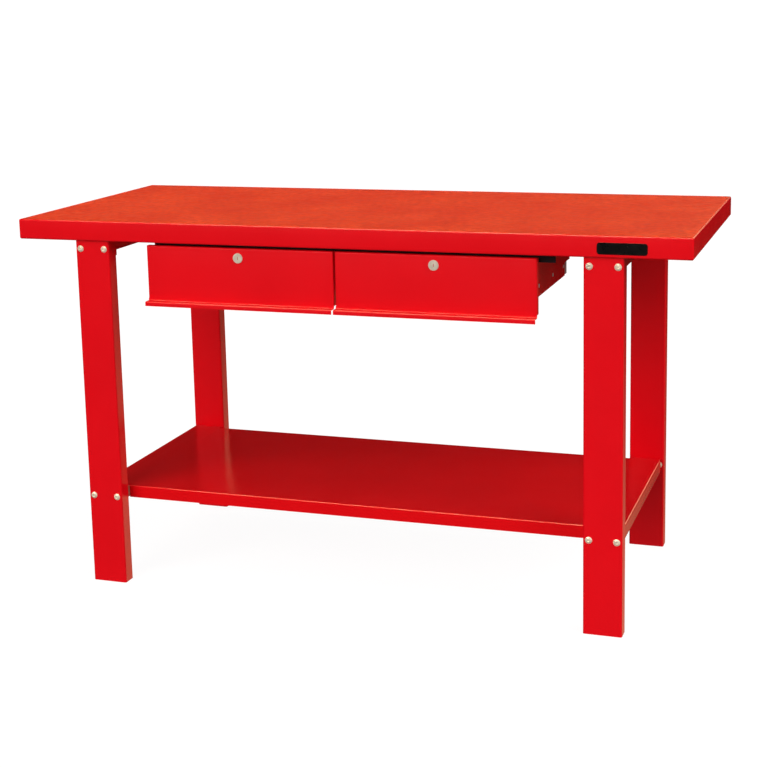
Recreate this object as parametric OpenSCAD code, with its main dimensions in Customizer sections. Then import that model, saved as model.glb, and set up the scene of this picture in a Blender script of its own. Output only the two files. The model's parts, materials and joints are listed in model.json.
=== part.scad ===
// Steel workbench with two lockable drawers and a lower shelf.
// X runs from left to right, Y from front to back and Z up. The origin is on the floor,
// under the middle of the bench's box. Lengths are in millimetres.
// Depths named _d are measured back from the front face of the worktop.

/* [Worktop] */
// Width of the worktop, left to right
bench_w = 1500; // [1400:10:1800]
// Depth of the worktop, front to back
bench_d = 650; // [560:10:780]
// Height of the working surface above the floor
bench_h = 840; // [700:5:1010]
// Height of the lip folded down round the worktop
lip_h = 45; // [38:1:60]
// Sheet thickness of the worktop
top_t = 2; // [1.5:0.1:3]
// Width of the flange folded in under the lip
lip_return = 22; // [15:1:24]
// Outside radius of the folds along the worktop's edges
fold_r = 4; // [3.5:0.1:6]
// Width of the plain plate on the front lip
label_w = 101; // [60:1:120]
// Height of the plain plate
label_h = 24; // [16:1:28]
// From the right end of the worktop to the middle of the plate
label_inset = 140; // [80:1:200]
// Height of the plate's middle above the lip's lower edge
label_rise = 19; // [16:0.5:22]
// Width of the web of each channel under the worktop
stiffener_w = 44; // [42:1:60]
// Width of the toes that each channel is welded by
stiffener_toe = 12; // [8:1:20]

/* [Legs and cross rails] */
// Width of a leg's web, which faces forward
leg_w = 82; // [76:1:100]
// Depth of a leg's two flanges
leg_d = 32; // [25:1:40]
// Sheet thickness of the legs and of the cross rails
leg_t = 2.5; // [2:0.1:3]
// Outside radius of a leg's two folds
leg_fold_r = 4; // [3.5:0.1:6]
// From the end of the worktop to the outside of a leg
leg_inset = 137; // [100:1:160]
// From the front of the worktop to the face of the front legs
front_leg_d = 8; // [4:1:20]
// From the back of the worktop to the back of the rear legs
rear_leg_inset = 50; // [20:1:80]
// Height of the upper cross rails
top_rail_h = 38; // [36:1:50]
// Height of the upper cross rails between their deeper ends
top_rail_waist = 26; // [20:1:34]
// Length of the deeper ends of the upper cross rails
rail_end = 42; // [30:1:60]
// Height of the shelf's cross rails
shelf_rail_h = 28; // [26:1:36]
// Distance between the two bolts side by side in each joint
bolt_pitch = 58; // [50:1:60]

/* [Shelf] */
// Height of the shelf's surface above the floor
shelf_z = 220; // [150:5:400]
// Height of the lips folded down round the shelf
shelf_lip_h = 28; // [22:1:40]
// Sheet thickness of the shelf
shelf_t = 1.5; // [1.2:0.1:2.5]
// From the end of the worktop to the side edge of the shelf
shelf_inset = 143; // [142:1:165]
// Gap between the front legs' flanges and the shelf's front edge
shelf_front_gap = 12; // [6:1:30]
// Gap between the shelf's back edge and the rear legs
shelf_rear_gap = 15; // [14:1:30]
// Gap between the ends of the front and back lips and the rails
shelf_lip_gap = 2; // [1:0.5:10]

/* [Drawers] */
// Width of one drawer front
front_w = 435; // [350:1:450]
// Height of a drawer front's face, down to its pull
front_h = 123; // [112:1:148]
// Gap between the two drawer fronts
front_gap = 4; // [4:1:12]
// Gap between the worktop's lip and the drawer fronts
front_drop = 7; // [5:1:12]
// From the front of the worktop to the face of the drawer fronts
front_face_d = 7; // [4:1:12]
// Depth of the returns round a drawer front
front_return = 14; // [10:1:18]
// How far the pull stands out from the face
pull_reach = 18; // [12:1:30]
// Height of the pull's turned-down edge
pull_drop = 10; // [8:1:16]
// Sheet thickness of the fronts and the tubs
drawer_t = 1.5; // [1.2:0.1:1.8]
// Depth of a drawer tub, front to back
tub_d = 350; // [320:1:420]
// Height of a drawer tub
tub_h = 59; // [54:1:66]
// From the top of a drawer front to the top of its tub
tub_top_drop = 34; // [33:1:36]
// Width of the edge folded in along the top of a tub
tub_hem = 6; // [4:1:10]

/* [Runners and hangers] */
// Length of the telescopic runners, which is also the drawers' travel
runner_len = 300; // [250:1:320]
// Gap between a drawer front's returns and the front end of the runners
runner_front_gap = 3; // [2:0.5:8]
// Height of a runner's outer member
runner_h = 45; // [42:1:48]
// Thickness of a closed runner
runner_w = 12.7; // [12.6:0.1:13.2]
// Sheet thickness of a runner's members
runner_t = 1.2; // [1:0.1:1.3]
// Radius of the bearing balls
ball_r = 1.8; // [1.5:0.1:1.9]
// Sheet thickness of the hangers
hanger_t = 2; // [1.5:0.1:2.5]
// Height of a hanger behind the runners
hanger_rear_h = 63; // [50:1:66]
// How far a hanger is set in from the edge of its drawer front
hanger_inset = 5; // [3:1:8]
// How far the lock rail reaches past the right drawer front
lock_rail_over = 33; // [10:1:40]

/* [Locks] */
// Height of the lock's axis below the top of its drawer front
lock_drop = 21; // [20:1:22]
// Radius of the lock's head
lock_head_r = 11; // [10:0.5:12]
// Radius of the lock's barrel
lock_barrel_r = 8; // [7.5:0.1:8]
// Radius of the turning plug
lock_plug_r = 5.5; // [5:0.1:6]
// Length of the cam from the lock's axis to its tip
cam_len = 24; // [20:0.5:24]

/* [Hidden] */
$fn = 48;
// clearances
running_gap = 0.05;   // radial, plug in its barrel and ball in its cage
thread_gap = 0.05;    // radial, screw in its nut
hole_gap = 0.5;       // radial, bolt in its clearance hole
slip_gap = 0.5;       // each side, rail's tab beside the inside of a leg's folds
shelf_gap = 1;        // each side, shelf's side lip outside its rail
ball_gap = 0.35;      // ball from the races above and below it
pass_gap = 1;         // lock barrel under the lock rail
washer_gap = 0.2;     // radial, bolt in its washer
barrel_gap = 0.2;     // radial, lock barrel in its drawer front
cage_gap = 0.3;       // ball cage from the member that it lies against
hanger_margin = 0.5;  // hanger below the runner that it carries
rail_end_gap = 3;     // lock rail's left end from the left hanger
channel_end_gap = 4;  // channels under the worktop from its folded-in flanges

// the box is the worktop with the pulls standing out in front of it
pull_proud = pull_reach - front_face_d;
front_y = pull_proud / 2 - bench_d / 2;
rear_y = front_y + bench_d;
half_w = bench_w / 2;
lip_z = bench_h - lip_h;
skin_z = bench_h - top_t;

// legs
leg_x = half_w - leg_inset - leg_w / 2;
front_leg_y = front_y + front_leg_d;
rear_leg_y = rear_y - rear_leg_inset - leg_d;
rail_front_y = front_leg_y + leg_t;
tab_w = leg_w - 2 * leg_fold_r - 2 * slip_gap;
top_rail_z = lip_z - top_rail_h;
top_bolt_z = lip_z - top_rail_h / 2;

// shelf
shelf_half_w = half_w - shelf_inset;
shelf_front_y = front_leg_y + leg_d + shelf_front_gap;
shelf_rear_y = rear_leg_y - shelf_rear_gap;
shelf_rail_top = shelf_z - shelf_t;
shelf_rail_z = shelf_rail_top - shelf_rail_h;
shelf_bolt_z = shelf_rail_top - shelf_rail_h / 2;
shelf_rail_out = shelf_half_w - shelf_t - shelf_gap;
shelf_rail_in = leg_x - tab_w / 2 + (leg_x + tab_w / 2 - shelf_rail_out);
shelf_lip_half = shelf_rail_in - shelf_lip_gap;

// channels under the worktop, by the depth of their middles
stiffener_len = bench_w - 2 * (top_t + lip_return + channel_end_gap);
front_stiffener_d = 50;
middle_stiffener_d = bench_d / 2;
rear_stiffener_d = bench_d - front_stiffener_d;
stiffener_ds = [front_stiffener_d, middle_stiffener_d, rear_stiffener_d];

label_t = 0.6;

// fasteners
bolt_r = 4;
bolt_head_r = 7.5;
bolt_head_h = 4;
bolt_tip = 2;
socket_r = 2.9;
socket_depth = 2.4;
washer_r = 8;
washer_t = 1.5;
nut_r = 7.2;
nut_h = 6.5;
bolt_grip = 2 * leg_t + washer_t + nut_h;
bolt_xs = [-bolt_pitch / 2, bolt_pitch / 2];
bolt_zs = [top_bolt_z, shelf_bolt_z];
// The front legs' bolts go in from the front, the rear legs' from the back.
// Each spot is the outer face of a leg's web and the way the bolt's head faces.
bolt_spots = [
    for (x = [-leg_x, leg_x], dx = bolt_xs, z = bolt_zs, end = [-1, 1])
        [[x + dx, end < 0 ? front_leg_y : rear_leg_y + leg_t, z], end]
];
rail_relief = leg_t + washer_t + nut_h + 6;
screw_r = 2.5;
screw_head_r = 4.5;
screw_head_h = 2.5;
screw_tip = 5;
rivet_r = 2;
rivet_head_h = 1.2;
stud_r = 2;
stud_len = 8;
stud_nut_h = 3.2;

// drawer fronts and tubs
front_top_z = lip_z - front_drop;
front_foot_z = front_top_z - front_h;
front_x = (front_gap + front_w) / 2;
face_y = front_y + front_face_d;
tub_front_y = face_y + drawer_t;
tub_top_z = front_top_z - tub_top_drop;
tub_z = tub_top_z - tub_h;
hanger_x = front_gap / 2 + front_w - hanger_inset - hanger_t;
tub_x = (hanger_x + hanger_t / 2) / 2;
tub_w = hanger_x - hanger_t / 2 - 2 * runner_w;
stud_xs = [-tub_w / 2 + 25, -tub_w / 6, tub_w / 6, tub_w / 2 - 25];
stud_z = tub_z + tub_h / 2;

// lock rail and locks
lock_rail_d = 33;
lock_rail_t = 2;
lock_rail_depth = 25;
lock_rail_y = front_y + lock_rail_d;
lock_rail_right = front_gap / 2 + front_w + lock_rail_over;
lock_z = front_top_z - lock_drop;
lock_rail_z = lock_z + lock_barrel_r + pass_gap;
lock_head_h = 2.5;
lock_rim = 0.8;
cam_y = lock_rail_y + lock_rail_t + 2;
cam_t = 2;
cam_w = 12;
barrel_end_y = cam_y - 0.5;
lock_len = barrel_end_y - face_y;
plug_head_r = lock_plug_r + 1.8;
plug_head_h = 1.5;
tail_w = 6;
lock_nut_r = 10.6;
lock_nut_h = 3;
key_w = 1.8;
key_h = 7.2;
key_depth = 7;

// runners start behind the returns of the drawer fronts
runner_front_d = front_face_d + front_return + runner_front_gap;
runner_y = front_y + runner_front_d;
runner_z = tub_z + tub_h / 2 + 1.5;

// hangers
hanger_z = runner_z - runner_h / 2 - hanger_margin;
hanger_step_z = lip_z - hanger_rear_h;
hanger_step_lap = 29;
hanger_step_d = runner_front_d + runner_len - hanger_step_lap;
hanger_rear_d = middle_stiffener_d + stiffener_w / 2;
hanger_flange = 25;
hanger_screw_edge = 6;
hanger_front_d = runner_front_d - 1;
hanger_notch_d = lock_rail_d + lock_rail_t + 2;
hanger_flange_d = lock_rail_d + lock_rail_depth + 2;
hanger_screw_ds = [hanger_flange_d + hanger_screw_edge, middle_stiffener_d];

// screws that hold the lock rail and the hangers up, as [x, depth]
lock_rail_left = -hanger_x + rail_end_gap;
lock_rail_screw_edge = 8;
lock_rail_screw_end = 15;
lock_rail_screw_d = lock_rail_d + lock_rail_depth - lock_rail_screw_edge;
lock_rail_screw_xs = [
    lock_rail_left + lock_rail_screw_end, -front_x, front_x, lock_rail_right - lock_rail_screw_end
];
hanger_screw_xs = [-hanger_x - hanger_flange / 2, hanger_flange / 2, hanger_x + hanger_flange / 2];
carrier_screw_spots = concat(
    [for (x = lock_rail_screw_xs) [x, lock_rail_screw_d]],
    [for (x = hanger_screw_xs, d = hanger_screw_ds) [x, d]]
);

// runners: sections are drawn from the hanger's face towards the tub
race_gap = 2 * ball_r + 2 * ball_gap;
outer_depth = runner_w - 2.5;
outer_lip = 2.5;
middle_x = 2 * runner_t;
middle_half = runner_h / 2 - runner_t - race_gap;
middle_depth = runner_w - 1.5;
inner_half = middle_half - runner_t - race_gap;
inner_depth = runner_w - runner_t - 4;
cage_t = 0.6;
outer_ball_x = middle_x + 3.2;
inner_ball_x = middle_x + runner_t + 4.4;
cage_front = runner_len / 4 + 5;
cage_len = runner_len / 2 - 10;
balls_per_row = 5;
rivet_ds = [20, runner_len / 2, runner_len - 45];
inner_screw_ds = [30, runner_len - 65];

red = [0.84, 0.05, 0.07];
black = [0.08, 0.08, 0.09];
zinc = [0.78, 0.77, 0.74];
nickel = [0.86, 0.83, 0.77];

// ---- shared shapes ----
// Cutters run 1 mm past the faces that they cut.

// A block between two opposite corners.
module block(lo, hi) {
    translate(lo) cube(hi - lo);
}

// A round bar along +Y from a point.
module bar_y(at, r, len) {
    translate(at) rotate([-90, 0, 0]) cylinder(r = r, h = len);
}

// A round bar along +Z from a point.
module bar_z(at, r, len) {
    translate(at) cylinder(r = r, h = len);
}

// A round bar along +X from a point.
module bar_x(at, r, len) {
    translate(at) rotate([0, 90, 0]) cylinder(r = r, h = len);
}

// A rectangle that hangs from the origin, with its two top corners rounded.
module folded_top(w, h, r) {
    translate([-w / 2, -h]) square([w, h - r]);
    translate([-w / 2 + r, -r]) square([w - 2 * r, r]);
    for (side = [-1, 1]) {
        translate([side * (w / 2 - r), -r]) circle(r);
    }
}

// A block whose four top edges are rounded, its top at z = 0.
module folded_block(w, d, h, r) {
    intersection() {
        rotate([90, 0, 0]) linear_extrude(d, center = true) folded_top(w, h, r);
        rotate([90, 0, 90]) linear_extrude(w, center = true) folded_top(d, h, r);
    }
}

// Outline of a channel, its web along the front and two rounded folds.
module channel_outline(w, d, t, r) {
    difference() {
        rounded_front(w, d, r);
        translate([0, t]) rounded_front(w - 2 * t, d, r - t);
    }
}

module rounded_front(w, d, r) {
    translate([-w / 2, r]) square([w, d - r]);
    translate([-w / 2 + r, 0]) square([w - 2 * r, d]);
    for (side = [-1, 1]) {
        translate([side * (w / 2 - r), r]) circle(r);
    }
}

// A hat channel along X: its web at z0, its toes against the sheet at z1.
module hat_channel(len, mid_y, z0, z1, t) {
    translate([-len / 2, mid_y, 0]) {
        block([0, -stiffener_w / 2, z0], [len, stiffener_w / 2, z0 + t]);
        for (side = [-1, 1]) {
            inside = side * (stiffener_w / 2 - t);
            outside = side * stiffener_w / 2;
            toe = side * (stiffener_w / 2 + stiffener_toe);
            block([0, min(inside, outside), z0], [len, max(inside, outside), z1]);
            block([0, min(inside, toe), z1 - t], [len, max(inside, toe), z1]);
        }
    }
}

// ---- worktop ----

module worktop_shell() {
    mid_y = (front_y + rear_y) / 2;
    color(red) difference() {
        translate([0, mid_y, bench_h]) folded_block(bench_w, bench_d, lip_h, fold_r);
        translate([0, mid_y, skin_z]) {
            folded_block(bench_w - 2 * top_t, bench_d - 2 * top_t,
                lip_h - 2 * top_t, fold_r - top_t);
        }
        block([-half_w + top_t + lip_return, front_y + top_t + lip_return, lip_z - 1],
            [half_w - top_t - lip_return, rear_y - top_t - lip_return, lip_z + 2 * top_t]);
    }
}

module worktop_stiffener(mid_d, screw_xs) {
    color(red) difference() {
        hat_channel(stiffener_len, front_y + mid_d, lip_z, skin_z, top_t);
        for (x = screw_xs) {
            bar_z([x, front_y + mid_d, lip_z - 1], screw_r + thread_gap, top_t + 2);
        }
        for (at = carrier_screw_spots) {
            bar_z([at[0], front_y + at[1], lip_z - 1], screw_r + thread_gap, top_t + 2);
        }
    }
}

module worktop_screws() {
    color(zinc) {
        for (x = [-leg_x, leg_x], d = stiffener_ds) {
            bar_z([x, front_y + d, lip_z - leg_t - screw_head_h], screw_head_r, screw_head_h);
            bar_z([x, front_y + d, lip_z - leg_t - 0.5], screw_r, leg_t + top_t + screw_tip);
        }
    }
}

// A plain plate on the front lip, with nothing on it.
module label_plate() {
    color(black) {
        translate([half_w - label_inset, front_y, lip_z + label_rise]) rotate([90, 0, 0]) {
            linear_extrude(label_t) {
                square([label_w - label_h / 2, label_h], center = true);
                square([label_w, label_h / 2], center = true);
                for (sx = [-1, 1], sz = [-1, 1]) {
                    translate([sx * (label_w / 2 - label_h / 4), sz * label_h / 4]) {
                        circle(label_h / 4);
                    }
                }
            }
        }
    }
}

// ---- legs, cross rails and their bolts ----

module leg(x, y) {
    color(red) difference() {
        translate([x, y, 0]) linear_extrude(lip_z) channel_outline(leg_w, leg_d, leg_t, leg_fold_r);
        for (dx = bolt_xs, z = bolt_zs) {
            bar_y([x + dx, y - 1, z], bolt_r + hole_gap, leg_t + 2);
        }
    }
}

// A channel from leg to leg that is open below, with an end tab bolted to each leg.
// Its flanges stop short of the tabs, which leaves room for the nuts, and between their
// ends they are only waist deep.
module cross_rail(x_in, x_out, x_tab, z0, z1, waist, bolt_z, screw_spots) {
    lo = min(x_in, x_out);
    hi = max(x_in, x_out);
    color(red) difference() {
        union() {
            block([lo, rail_front_y, z1 - leg_t], [hi, rear_leg_y, z1]);
            for (x = [lo, hi - leg_t]) {
                block([x, rail_front_y + rail_relief, z0], [x + leg_t, rear_leg_y - rail_relief, z1]);
            }
            for (y = [rail_front_y, rear_leg_y - leg_t]) {
                block([x_tab - tab_w / 2, y, z0], [x_tab + tab_w / 2, y + leg_t, z1]);
            }
        }
        block([lo - 1, rail_front_y + rail_end, z0 - 1],
            [hi + 1, rear_leg_y - rail_end, z1 - waist]);
        for (dx = bolt_xs, y = [rail_front_y, rear_leg_y - leg_t]) {
            bar_y([x_tab + dx, y - 1, bolt_z], bolt_r + hole_gap, leg_t + 2);
        }
        for (y = screw_spots) {
            bar_z([x_tab, y, z1 - leg_t - 1], screw_r + hole_gap, leg_t + 2);
        }
    }
}

module top_rail(side) {
    cross_rail(side * leg_x - tab_w / 2, side * leg_x + tab_w / 2, side * leg_x,
        top_rail_z, lip_z, top_rail_waist, top_bolt_z, [for (d = stiffener_ds) front_y + d]);
}

module shelf_rail(side) {
    cross_rail(side * shelf_rail_in, side * shelf_rail_out, side * leg_x,
        shelf_rail_z, shelf_rail_top, shelf_rail_h + 1, shelf_bolt_z, []);
}

module at_bolt(spot) {
    translate(spot[0]) rotate([spot[1] < 0 ? 90 : -90, 0, 0]) children();
}

// A domed head with a six-sided socket, and its shank.
module leg_bolts() {
    dome_r = (bolt_head_r * bolt_head_r + bolt_head_h * bolt_head_h) / (2 * bolt_head_h);
    color(zinc) {
        for (spot = bolt_spots) {
            at_bolt(spot) difference() {
                union() {
                    intersection() {
                        cylinder(r = bolt_head_r, h = bolt_head_h);
                        translate([0, 0, bolt_head_h - dome_r]) sphere(dome_r);
                    }
                    translate([0, 0, -bolt_grip - bolt_tip]) {
                        cylinder(r = bolt_r, h = bolt_grip + bolt_tip + 1);
                    }
                }
                translate([0, 0, bolt_head_h - socket_depth]) {
                    cylinder(r = socket_r, h = socket_depth + 1, $fn = 6);
                }
            }
        }
    }
}

module leg_washers() {
    color(zinc) {
        for (spot = bolt_spots) {
            at_bolt(spot) translate([0, 0, -2 * leg_t - washer_t]) difference() {
                cylinder(r = washer_r, h = washer_t);
                translate([0, 0, -1]) cylinder(r = bolt_r + washer_gap, h = washer_t + 2);
            }
        }
    }
}

module leg_nuts() {
    color(zinc) {
        for (spot = bolt_spots) {
            at_bolt(spot) translate([0, 0, -bolt_grip]) difference() {
                cylinder(r = nut_r, h = nut_h, $fn = 6);
                translate([0, 0, -1]) cylinder(r = bolt_r + thread_gap, h = nut_h + 2);
            }
        }
    }
}

// ---- shelf ----

module shelf_tray() {
    mid_y = (shelf_front_y + shelf_rear_y) / 2;
    d = shelf_rear_y - shelf_front_y;
    r = 2 * shelf_t;
    color(red) difference() {
        translate([0, mid_y, shelf_z]) folded_block(2 * shelf_half_w, d, shelf_lip_h, r);
        translate([0, mid_y, shelf_z - shelf_t]) {
            folded_block(2 * shelf_half_w - 2 * shelf_t, d - 2 * shelf_t, shelf_lip_h, r - shelf_t);
        }
        for (side = [-1, 1]) {
            a = side * shelf_lip_half;
            b = side * (shelf_half_w - shelf_t);
            block([min(a, b), shelf_front_y - 1, shelf_z - shelf_lip_h - 1],
                [max(a, b), shelf_rear_y + 1, shelf_z - shelf_t]);
        }
    }
}

module shelf_stiffener() {
    color(red) {
        hat_channel(2 * (shelf_rail_in - 3), (shelf_front_y + shelf_rear_y) / 2,
            shelf_rail_z, shelf_rail_top, shelf_t);
    }
}

// ---- lock rail, hangers and their screws ----

// A flat bar across both drawers, screwed up under the front channel.
module lock_rail() {
    color(black) difference() {
        block([lock_rail_left, lock_rail_y, lip_z - lock_rail_t],
            [lock_rail_right, lock_rail_y + lock_rail_depth, lip_z]);
        for (x = lock_rail_screw_xs) {
            bar_z([x, front_y + lock_rail_screw_d, lip_z - lock_rail_t - 1],
                screw_r + hole_gap, lock_rail_t + 2);
        }
    }
}

// A bar on edge, welded under the front of the lock rail. The locks' cams turn up behind it.
module lock_catch() {
    color(black) {
        block([lock_rail_left, lock_rail_y, lock_rail_z],
            [lock_rail_right, lock_rail_y + lock_rail_t, lip_z - lock_rail_t]);
    }
}

// A plate that carries the runners; x is its left face, flange_x its flange's far edge.
module hanger(x, flange_x) {
    lo = min(x, flange_x);
    hi = max(x + hanger_t, flange_x);
    color(red) difference() {
        union() {
            translate([x, front_y, 0]) rotate([90, 0, 90]) linear_extrude(hanger_t) {
                polygon([
                    [hanger_front_d, hanger_z], [hanger_step_d, hanger_z],
                    [hanger_step_d, hanger_step_z], [hanger_rear_d, hanger_step_z],
                    [hanger_rear_d, lip_z], [hanger_flange_d, lip_z],
                    [hanger_flange_d, lip_z - lock_rail_t - 1],
                    [hanger_notch_d, lip_z - lock_rail_t - 1],
                    [hanger_notch_d, lock_rail_z - 4], [hanger_front_d, lock_rail_z - 4]
                ]);
            }
            block([lo, front_y + hanger_flange_d, lip_z - hanger_t],
                [hi, front_y + hanger_rear_d, lip_z]);
        }
        for (sx = hanger_screw_xs, d = hanger_screw_ds) {
            bar_z([sx, front_y + d, lip_z - hanger_t - 1], screw_r + hole_gap, hanger_t + 2);
        }
        for (d = rivet_ds) {
            bar_x([x - 1, runner_y + d, runner_z], rivet_r + thread_gap, hanger_t + 2);
        }
    }
}

module hanger_left() {
    hanger(-hanger_x - hanger_t, -hanger_x - hanger_flange);
}

module hanger_centre() {
    hanger(-hanger_t / 2, hanger_flange);
}

module hanger_right() {
    hanger(hanger_x, hanger_x + hanger_flange);
}

module carrier_screws() {
    color(zinc) {
        for (at = carrier_screw_spots) {
            translate([at[0], front_y + at[1], lip_z - hanger_t]) {
                bar_z([0, 0, -screw_head_h], screw_head_r, screw_head_h);
                bar_z([0, 0, -0.5], screw_r, hanger_t + top_t + screw_tip);
            }
        }
    }
}

// ---- telescopic runners ----

// Places a runner's section on the face at x, growing towards the tub by way.
module at_runner(x, way) {
    translate([x, runner_y, runner_z]) {
        if (way > 0) {
            children();
        } else {
            mirror([1, 0, 0]) children();
        }
    }
}

// Two flanges, above and below, of a member's section.
module flange_pair(x0, x1, z_out, t, len) {
    for (side = [-1, 1]) {
        a = side * z_out;
        b = side * (z_out - t);
        block([x0, 0, min(a, b)], [x1, len, max(a, b)]);
    }
}

module runner_outer(x, way) {
    color(zinc) at_runner(x, way) difference() {
        union() {
            block([0, 0, -runner_h / 2], [runner_t, runner_len, runner_h / 2]);
            flange_pair(0, outer_depth, runner_h / 2, runner_t, runner_len);
            flange_pair(outer_depth - runner_t, outer_depth, runner_h / 2, outer_lip + runner_t,
                runner_len);
        }
        for (d = rivet_ds) {
            bar_x([-1, d, 0], rivet_r + thread_gap, runner_t + 2);
        }
    }
}

module runner_middle(x, way) {
    color(zinc) at_runner(x, way) {
        block([middle_x, 0, -middle_half], [middle_x + runner_t, runner_len, middle_half]);
        flange_pair(middle_x, middle_depth, middle_half, runner_t, runner_len);
    }
}

module runner_inner(x, way) {
    color(zinc) at_runner(x, way) difference() {
        union() {
            block([runner_w - runner_t, 0, -inner_half], [runner_w, runner_len, inner_half]);
            flange_pair(runner_w - inner_depth, runner_w, inner_half, runner_t, runner_len);
        }
        for (d = inner_screw_ds) {
            bar_x([0, d, 0], rivet_r + hole_gap, runner_w + 1);
        }
    }
}

// A strip with a row of balls along each edge; the balls turn in its holes.
module ball_cage(strip_x, row_z, ball_x) {
    finger = ball_x + ball_r + 0.5;
    pitch = cage_len / balls_per_row;
    rows = [for (i = [0:balls_per_row - 1]) cage_front + (i + 0.5) * pitch];
    difference() {
        union() {
            block([strip_x, cage_front, -row_z], [strip_x + cage_t, cage_front + cage_len, row_z]);
            for (side = [-1, 1]) {
                block([strip_x, cage_front, side * row_z - cage_t / 2],
                    [finger, cage_front + cage_len, side * row_z + cage_t / 2]);
            }
        }
        for (side = [-1, 1], y = rows) {
            bar_z([ball_x, y, side * row_z - 1], ball_r + running_gap, 2);
        }
    }
    for (side = [-1, 1], y = rows) {
        translate([ball_x, y, side * row_z]) sphere(ball_r);
    }
}

module outer_ball_cages(side) {
    for (face = tub_faces(side)) {
        color(zinc) at_runner(face[0], face[1]) {
            ball_cage(runner_t + cage_gap, middle_half + race_gap / 2, outer_ball_x);
        }
    }
}

module inner_ball_cages(side) {
    for (face = tub_faces(side)) {
        color(zinc) at_runner(face[0], face[1]) {
            ball_cage(middle_x + runner_t + cage_gap, inner_half + race_gap / 2, inner_ball_x);
        }
    }
}

// The two hanger faces that a drawer runs between, each with the way to its tub.
function tub_faces(side) = side < 0
    ? [[-hanger_x, 1], [-hanger_t / 2, -1]]
    : [[hanger_t / 2, 1], [hanger_x, -1]];

module runner_rivets() {
    color(zinc) {
        for (d = rivet_ds) {
            for (side = [-1, 1]) {
                at_runner(side * hanger_x, -side) {
                    bar_x([-hanger_t, d, 0], rivet_r, hanger_t + runner_t);
                    bar_x([-hanger_t - rivet_head_h, d, 0], 2 * rivet_r, rivet_head_h);
                }
            }
            bar_x([-hanger_t / 2 - runner_t, runner_y + d, runner_z], rivet_r,
                hanger_t + 2 * runner_t);
        }
    }
}

module runner_screws(side) {
    head_h = 1.8;
    color(zinc) {
        for (face = tub_faces(side), d = inner_screw_ds) {
            at_runner(face[0], face[1]) {
                bar_x([runner_w - runner_t - head_h, d, 0], 1.7 * rivet_r, head_h);
                bar_x([runner_w - runner_t - 0.2, d, 0], rivet_r, runner_t + drawer_t + 1.7);
            }
        }
    }
}

// ---- drawers ----

module tub(side) {
    lo = [side * tub_x - tub_w / 2, tub_front_y, tub_z];
    hi = [side * tub_x + tub_w / 2, tub_front_y + tub_d, tub_top_z];
    t = [drawer_t, drawer_t, drawer_t];
    hem = tub_hem + drawer_t;
    color(red) difference() {
        block(lo, hi);
        block(lo + t, [hi[0] - drawer_t, hi[1] - drawer_t, hi[2] - drawer_t]);
        block([lo[0] + hem, lo[1] + hem, lo[2] + drawer_t], [hi[0] - hem, hi[1] - hem, hi[2] + 1]);
        for (x = stud_xs) {
            bar_y([side * tub_x + x, lo[1] - 1, stud_z], stud_r + hole_gap, drawer_t + 2);
        }
        for (d = inner_screw_ds) {
            bar_x([lo[0] - 1, runner_y + d, runner_z], rivet_r + thread_gap, drawer_t + 2);
            bar_x([hi[0] - drawer_t - 1, runner_y + d, runner_z], rivet_r + thread_gap,
                drawer_t + 2);
        }
    }
}

// The face with its returns, and the pull along its foot: a ledge and a turned-down edge.
module drawer_front(side) {
    x0 = side * front_x - front_w / 2;
    x1 = x0 + front_w;
    ledge_z = front_foot_z;
    tip_y = face_y - pull_reach;
    t = drawer_t;
    back_y = face_y + front_return;
    color(red) {
        difference() {
            union() {
                block([x0, face_y, ledge_z], [x1, face_y + t, front_top_z]);
                block([x0, face_y, front_top_z - t], [x1, back_y, front_top_z]);
                block([x0, face_y, ledge_z], [x0 + t, back_y, front_top_z]);
                block([x1 - t, face_y, ledge_z], [x1, back_y, front_top_z]);
                block([x0, tip_y, ledge_z], [x1, face_y + t, ledge_z + t]);
                block([x0, tip_y, ledge_z + t - pull_drop], [x1, tip_y + t, ledge_z + t]);
                for (x = stud_xs) {
                    bar_y([side * tub_x + x, face_y + t / 2, stud_z], stud_r, t / 2 + stud_len);
                }
            }
            bar_y([side * front_x, face_y - 1, lock_z], lock_barrel_r + barrel_gap, t + 2);
        }
    }
}

module front_nuts(side) {
    color(zinc) {
        for (x = stud_xs) {
            translate([side * tub_x + x, tub_front_y + drawer_t, stud_z]) {
                rotate([-90, 0, 0]) difference() {
                    cylinder(r = 2 * stud_r, h = stud_nut_h, $fn = 6);
                    translate([0, 0, -1]) cylinder(r = stud_r + thread_gap, h = stud_nut_h + 2);
                }
            }
        }
    }
}

// ---- locks ----

// Each lock is drawn along +Y from the face of its drawer front.
module at_lock(side) {
    translate([side * front_x, face_y, lock_z]) children();
}

module lock_housing(side) {
    color(nickel) at_lock(side) difference() {
        union() {
            bar_y([0, -lock_head_h, 0], lock_head_r - lock_rim, lock_head_h);
            bar_y([0, -lock_head_h + lock_rim, 0], lock_head_r, lock_head_h - lock_rim);
            bar_y([0, -0.5, 0], lock_barrel_r, lock_len + 0.5);
        }
        bar_y([0, -lock_head_h - 1, 0], lock_plug_r + running_gap, lock_len + lock_head_h + 2);
        bar_y([0, -lock_head_h - 1, 0], plug_head_r + running_gap, plug_head_h + 1);
    }
}

module lock_nut(side) {
    color(zinc) at_lock(side) translate([0, drawer_t, 0]) rotate([-90, 0, 0]) difference() {
        cylinder(r = lock_nut_r, h = lock_nut_h, $fn = 6);
        translate([0, 0, -1]) cylinder(r = lock_barrel_r + thread_gap, h = lock_nut_h + 2);
    }
}

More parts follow.
